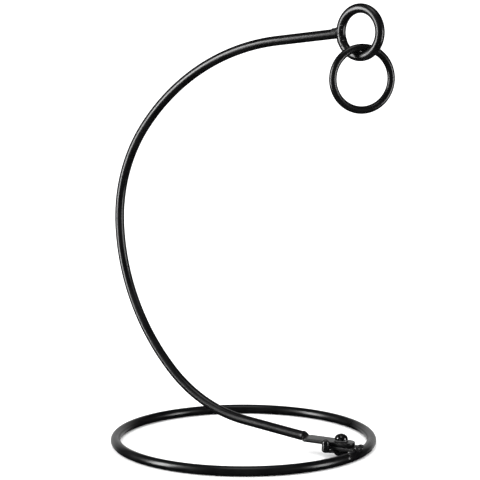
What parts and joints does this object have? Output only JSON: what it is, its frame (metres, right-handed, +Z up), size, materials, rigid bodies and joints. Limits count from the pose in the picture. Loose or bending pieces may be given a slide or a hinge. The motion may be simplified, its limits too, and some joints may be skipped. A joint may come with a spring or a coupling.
{
  "type": "razor stand",
  "caption": "Bent wire stand: a curved arm with a loose hanging ring, clamped by a domed screw to a round wire base.",
  "frame": {"origin": "centre of the base ring on the surface it rests on", "axes": "+Z up; the arm stands in the XZ plane with its screw on the +X side and bows out over -X; +Y is across the arm"},
  "size_m": [0.1759, 0.1526, 0.2503],
  "materials": {
    "coated_wire": "satin black coat",
    "coated_flat": "satin black coat",
    "coated_weld": "glossy black coat over weld",
    "gloss_casting": "gloss black",
    "screw_black": "gloss black"
  },
  "bodies": {
    "base": {"base_ring": "coated_wire", "base_paddle": "coated_flat", "paddle_weld": "coated_weld", "clamp_nut": "gloss_casting"},
    "arm": {"arm_rod": "coated_wire", "eye_ring": "coated_wire", "eye_weld": "coated_weld"},
    "loose_ring": {"hanging_ring": "coated_wire"},
    "washer": {"screw_washer": "screw_black"},
    "screw": {"clamp_screw": "screw_black"}
  },
  "joints": [
    {"name": "arm_swivel", "type": "hinge", "parent": "base", "child": "arm", "pos_m": [0.0628, 0, 0.0066], "axis": [0, 0, 1], "range_deg": [-94, 4]},
    {"name": "ring_swing", "type": "hinge", "parent": "arm", "child": "loose_ring", "pos_m": [0.0742, -0.00238, 0.22187], "axis": [0.983, -0.1733, 0.0611], "range_deg": [-100, 100]},
    {"name": "screw_lift", "type": "slide", "parent": "base", "child": "washer", "axis": [0, 0, 1], "range_m": [0, 0.0014]},
    {"name": "screw_turn", "type": "hinge", "parent": "washer", "child": "screw", "pos_m": [0.0628, 0, 0.0097], "axis": [0, 0, 1], "range_deg": [0, 720]}
  ],
  "couplings": [
    {"joint": "screw_turn", "follows": "screw_lift", "rad_per_m": 8976}
  ]
}
